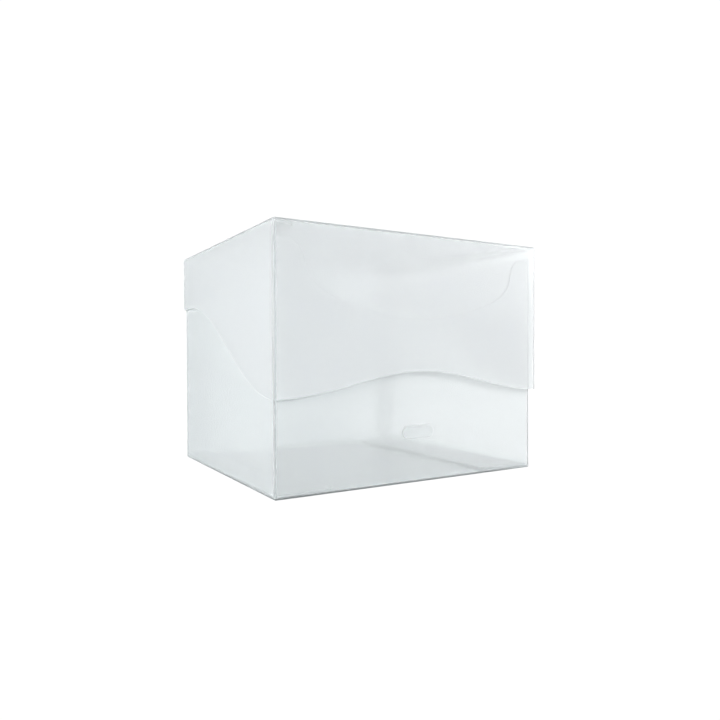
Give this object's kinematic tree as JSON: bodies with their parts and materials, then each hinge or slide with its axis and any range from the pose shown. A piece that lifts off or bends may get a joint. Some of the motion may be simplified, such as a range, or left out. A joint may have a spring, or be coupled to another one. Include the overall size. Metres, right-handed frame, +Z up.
{
  "type": "card box",
  "caption": "Frosted plastic sheet card box with a deep wave-edged flip lid on a rear crease hinge and a wide thumb cut-out in its front wall.",
  "frame": {"origin": "centre of the closed box's footprint, on the face it stands on", "axes": "+Z up, -Y the front with the thumb cut-out, +X to the right of someone facing the front; the hinge crease runs along X at the back"},
  "size_m": [0.0998, 0.0896, 0.0782],
  "materials": {
    "base_sheet": "frosted translucent polypropylene sheet, fine matt texture",
    "lid_sheet": "frosted translucent polypropylene sheet, fine matt texture",
    "crease_web": "creased polypropylene, slightly whitened by bending"
  },
  "bodies": {
    "base": {"base_floor_panel": "base_sheet", "base_back_wall": "base_sheet", "base_front_wall": "base_sheet", "base_left_wall": "base_sheet", "base_right_wall": "base_sheet", "base_left_floor_tab": "base_sheet", "base_right_floor_tab": "base_sheet", "base_left_back_tab": "base_sheet", "base_right_back_tab": "base_sheet", "hinge_crease": "crease_web"},
    "lid": {"lid_top_panel": "lid_sheet", "lid_back_strip": "lid_sheet", "lid_front_flap": "lid_sheet", "lid_left_flap": "lid_sheet", "lid_right_flap": "lid_sheet", "lid_left_top_tab": "lid_sheet", "lid_right_top_tab": "lid_sheet", "lid_left_back_tab": "lid_sheet", "lid_right_back_tab": "lid_sheet"}
  },
  "joints": [
    {"name": "lid_hinge", "type": "hinge", "parent": "base", "child": "lid", "pos_m": [0, 0.04489, 0.0582], "axis": [-1, 0, 0], "range_deg": [0, 180]}
  ]
}
